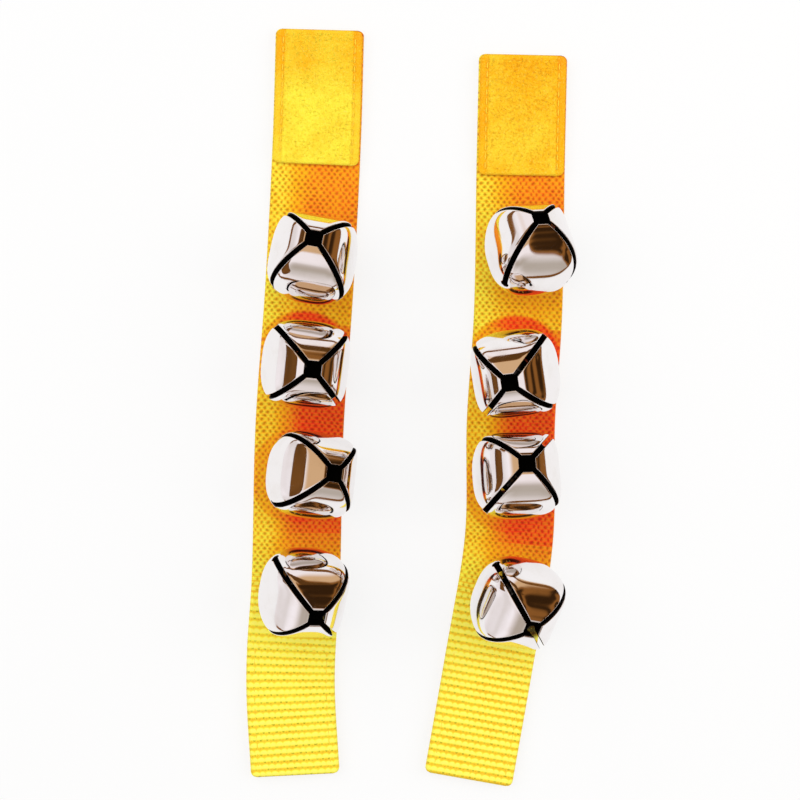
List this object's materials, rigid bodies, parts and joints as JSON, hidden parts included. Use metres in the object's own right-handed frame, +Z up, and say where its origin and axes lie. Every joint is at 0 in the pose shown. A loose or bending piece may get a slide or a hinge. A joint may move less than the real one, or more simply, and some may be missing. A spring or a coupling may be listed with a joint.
{
  "type": "pair of wrist bells",
  "caption": "Flat webbing wrist straps with a hook-and-loop closure, each carrying a row of slotted nickel jingle bells that swing on wire shanks and rattle a loose pellet.",
  "frame": {"origin": "on the surface that the straps lie on, at the middle of the pair's length and width", "axes": "+Z up from that surface through the bells, +Y along the straps towards the loop patches, +X across to the right strap"},
  "size_m": [0.093, 0.2176, 0.0332],
  "materials": {
    "webbing": "golden yellow heavy woven webbing",
    "loop_pile": "golden yellow brushed loop pile",
    "hook_pile": "golden yellow hook tape",
    "thread": "heavy waxed sewing thread",
    "wire": "plain steel wire",
    "bell_plate": "bright nickel plate",
    "pellet": "plain steel"
  },
  "bodies": {
    "left_strap": {"left_webbing": "webbing", "left_loop_patch": "loop_pile", "left_hook_patch": "hook_pile", "left_tie_1": "thread", "left_tie_2": "thread", "left_tie_3": "thread", "left_tie_4": "thread"},
    "right_strap": {"right_webbing": "webbing", "right_loop_patch": "loop_pile", "right_hook_patch": "hook_pile", "right_tie_1": "thread", "right_tie_2": "thread", "right_tie_3": "thread", "right_tie_4": "thread"},
    "left_bell_1_shank": {"left_bell_1_shank": "wire"},
    "left_bell_1_shell": {"left_bell_1_shell": "bell_plate"},
    "left_bell_1_pellet": {"left_bell_1_pellet": "pellet"},
    "left_bell_2_shank": {"left_bell_2_shank": "wire"},
    "left_bell_2_shell": {"left_bell_2_shell": "bell_plate"},
    "left_bell_2_pellet": {"left_bell_2_pellet": "pellet"},
    "left_bell_3_shank": {"left_bell_3_shank": "wire"},
    "left_bell_3_shell": {"left_bell_3_shell": "bell_plate"},
    "left_bell_3_pellet": {"left_bell_3_pellet": "pellet"},
    "left_bell_4_shank": {"left_bell_4_shank": "wire"},
    "left_bell_4_shell": {"left_bell_4_shell": "bell_plate"},
    "left_bell_4_pellet": {"left_bell_4_pellet": "pellet"},
    "right_bell_1_shank": {"right_bell_1_shank": "wire"},
    "right_bell_1_shell": {"right_bell_1_shell": "bell_plate"},
    "right_bell_1_pellet": {"right_bell_1_pellet": "pellet"},
    "right_bell_2_shank": {"right_bell_2_shank": "wire"},
    "right_bell_2_shell": {"right_bell_2_shell": "bell_plate"},
    "right_bell_2_pellet": {"right_bell_2_pellet": "pellet"},
    "right_bell_3_shank": {"right_bell_3_shank": "wire"},
    "right_bell_3_shell": {"right_bell_3_shell": "bell_plate"},
    "right_bell_3_pellet": {"right_bell_3_pellet": "pellet"},
    "right_bell_4_shank": {"right_bell_4_shank": "wire"},
    "right_bell_4_shell": {"right_bell_4_shell": "bell_plate"},
    "right_bell_4_pellet": {"right_bell_4_pellet": "pellet"}
  },
  "joints": [
    {"name": "right_strap_lift", "type": "slide", "parent": "left_strap", "child": "right_strap", "axis": [0, 0, 1], "range_m": [0, 0.06]},
    {"name": "left_bell_1_swing", "type": "hinge", "parent": "left_strap", "child": "left_bell_1_shank", "pos_m": [-0.0275, 0.03605, 0.00455], "axis": [1, 0, 0], "range_deg": [-15, 16]},
    {"name": "left_bell_1_rock", "type": "hinge", "parent": "left_bell_1_shank", "child": "left_bell_1_shell", "pos_m": [-0.0275, 0.03724, 0.00784], "axis": [0, 0.9397, -0.342], "range_deg": [-30, 26]},
    {"name": "left_bell_1_rattle", "type": "slide", "parent": "left_bell_1_shell", "child": "left_bell_1_pellet", "axis": [0.0698, 0.3412, 0.9374], "range_m": [0, 0.018]},
    {"name": "left_bell_2_swing", "type": "hinge", "parent": "left_strap", "child": "left_bell_2_shank", "pos_m": [-0.03082, 0.01365, 0.00455], "axis": [1, 0, 0], "range_deg": [-16, 22]},
    {"name": "left_bell_2_rock", "type": "hinge", "parent": "left_bell_2_shank", "child": "left_bell_2_shell", "pos_m": [-0.03082, 0.01322, 0.00802], "axis": [0, 0.9925, 0.1219], "range_deg": [-41, 19]},
    {"name": "left_bell_2_rattle", "type": "slide", "parent": "left_bell_2_shell", "child": "left_bell_2_pellet", "axis": [0.1908, -0.1196, 0.9743], "range_m": [0, 0.018]},
    {"name": "left_bell_3_swing", "type": "hinge", "parent": "left_strap", "child": "left_bell_3_shank", "pos_m": [-0.03297, -0.01995, 0.00455], "axis": [1, 0, 0], "range_deg": [-20, 31]},
    {"name": "left_bell_3_rock", "type": "hinge", "parent": "left_bell_3_shank", "child": "left_bell_3_shell", "pos_m": [-0.03297, -0.01968, 0.00804], "axis": [0, 0.9969, -0.0785], "range_deg": [-58, 2]},
    {"name": "left_bell_3_rattle", "type": "slide", "parent": "left_bell_3_shell", "child": "left_bell_3_pellet", "axis": [0.5075, 0.0676, 0.859], "range_m": [0, 0.018]},
    {"name": "left_bell_4_swing", "type": "hinge", "parent": "left_strap", "child": "left_bell_4_shank", "pos_m": [-0.03284, -0.04535, 0.00455], "axis": [1, 0, 0], "range_deg": [-31, 7]},
    {"name": "left_bell_4_rock", "type": "hinge", "parent": "left_bell_4_shank", "child": "left_bell_4_shell", "pos_m": [-0.03284, -0.04689, 0.0077], "axis": [0, 0.8988, 0.4384], "range_deg": [-46, 8]},
    {"name": "left_bell_4_rattle", "type": "slide", "parent": "left_bell_4_shell", "child": "left_bell_4_pellet", "axis": [0.309, -0.4169, 0.8548], "range_m": [0, 0.018]},
    {"name": "right_bell_1_swing", "type": "hinge", "parent": "right_strap", "child": "right_bell_1_shank", "pos_m": [0.03215, 0.03455, 0.00455], "axis": [1, 0, 0], "range_deg": [-2, 34]},
    {"name": "right_bell_1_rock", "type": "hinge", "parent": "right_bell_1_shank", "child": "right_bell_1_shell", "pos_m": [0.03215, 0.03668, 0.00733], "axis": [0, 0.7934, -0.6088], "range_deg": [-36, 16]},
    {"name": "right_bell_1_rattle", "type": "slide", "parent": "right_bell_1_shell", "child": "right_bell_1_pellet", "axis": [0.1564, 0.6013, 0.7836], "range_m": [0, 0.018]},
    {"name": "right_bell_2_swing", "type": "hinge", "parent": "right_strap", "child": "right_bell_2_shank", "pos_m": [0.03158, 0.01225, 0.00455], "axis": [1, 0, 0], "range_deg": [-28, 12]},
    {"name": "right_bell_2_rock", "type": "hinge", "parent": "right_bell_2_shank", "child": "right_bell_2_shell", "pos_m": [0.03158, 0.01155, 0.00798], "axis": [0, 0.9799, 0.1994], "range_deg": [-20, 38]},
    {"name": "right_bell_2_rattle", "type": "slide", "parent": "right_bell_2_shell", "child": "right_bell_2_pellet", "axis": [-0.1736, -0.1963, 0.965], "range_m": [0, 0.018]},
    {"name": "right_bell_3_swing", "type": "hinge", "parent": "right_strap", "child": "right_bell_3_shank", "pos_m": [0.0283, -0.02305, 0.00455], "axis": [1, 0, 0], "range_deg": [-12, 38]},
    {"name": "right_bell_3_rock", "type": "hinge", "parent": "right_bell_3_shank", "child": "right_bell_3_shell", "pos_m": [0.0283, -0.02209, 0.00791], "axis": [0, 0.9613, -0.2756], "range_deg": [-38, 22]},
    {"name": "right_bell_3_rattle", "type": "slide", "parent": "right_bell_3_shell", "child": "right_bell_3_pellet", "axis": [0.1478, 0.2726, 0.9507], "range_m": [0, 0.018]},
    {"name": "right_bell_4_swing", "type": "hinge", "parent": "right_strap", "child": "right_bell_4_shank", "pos_m": [0.0271, -0.04745, 0.00455], "axis": [1, 0, 0], "range_deg": [-35, 6]},
    {"name": "right_bell_4_rock", "type": "hinge", "parent": "right_bell_4_shank", "child": "right_bell_4_shell", "pos_m": [0.0271, -0.0491, 0.00764], "axis": [0, 0.8829, 0.4695], "range_deg": [-43, 11]},
    {"name": "right_bell_4_rattle", "type": "slide", "parent": "right_bell_4_shell", "child": "right_bell_4_pellet", "axis": [0.2588, -0.4535, 0.8529], "range_m": [0, 0.018]}
  ]
}
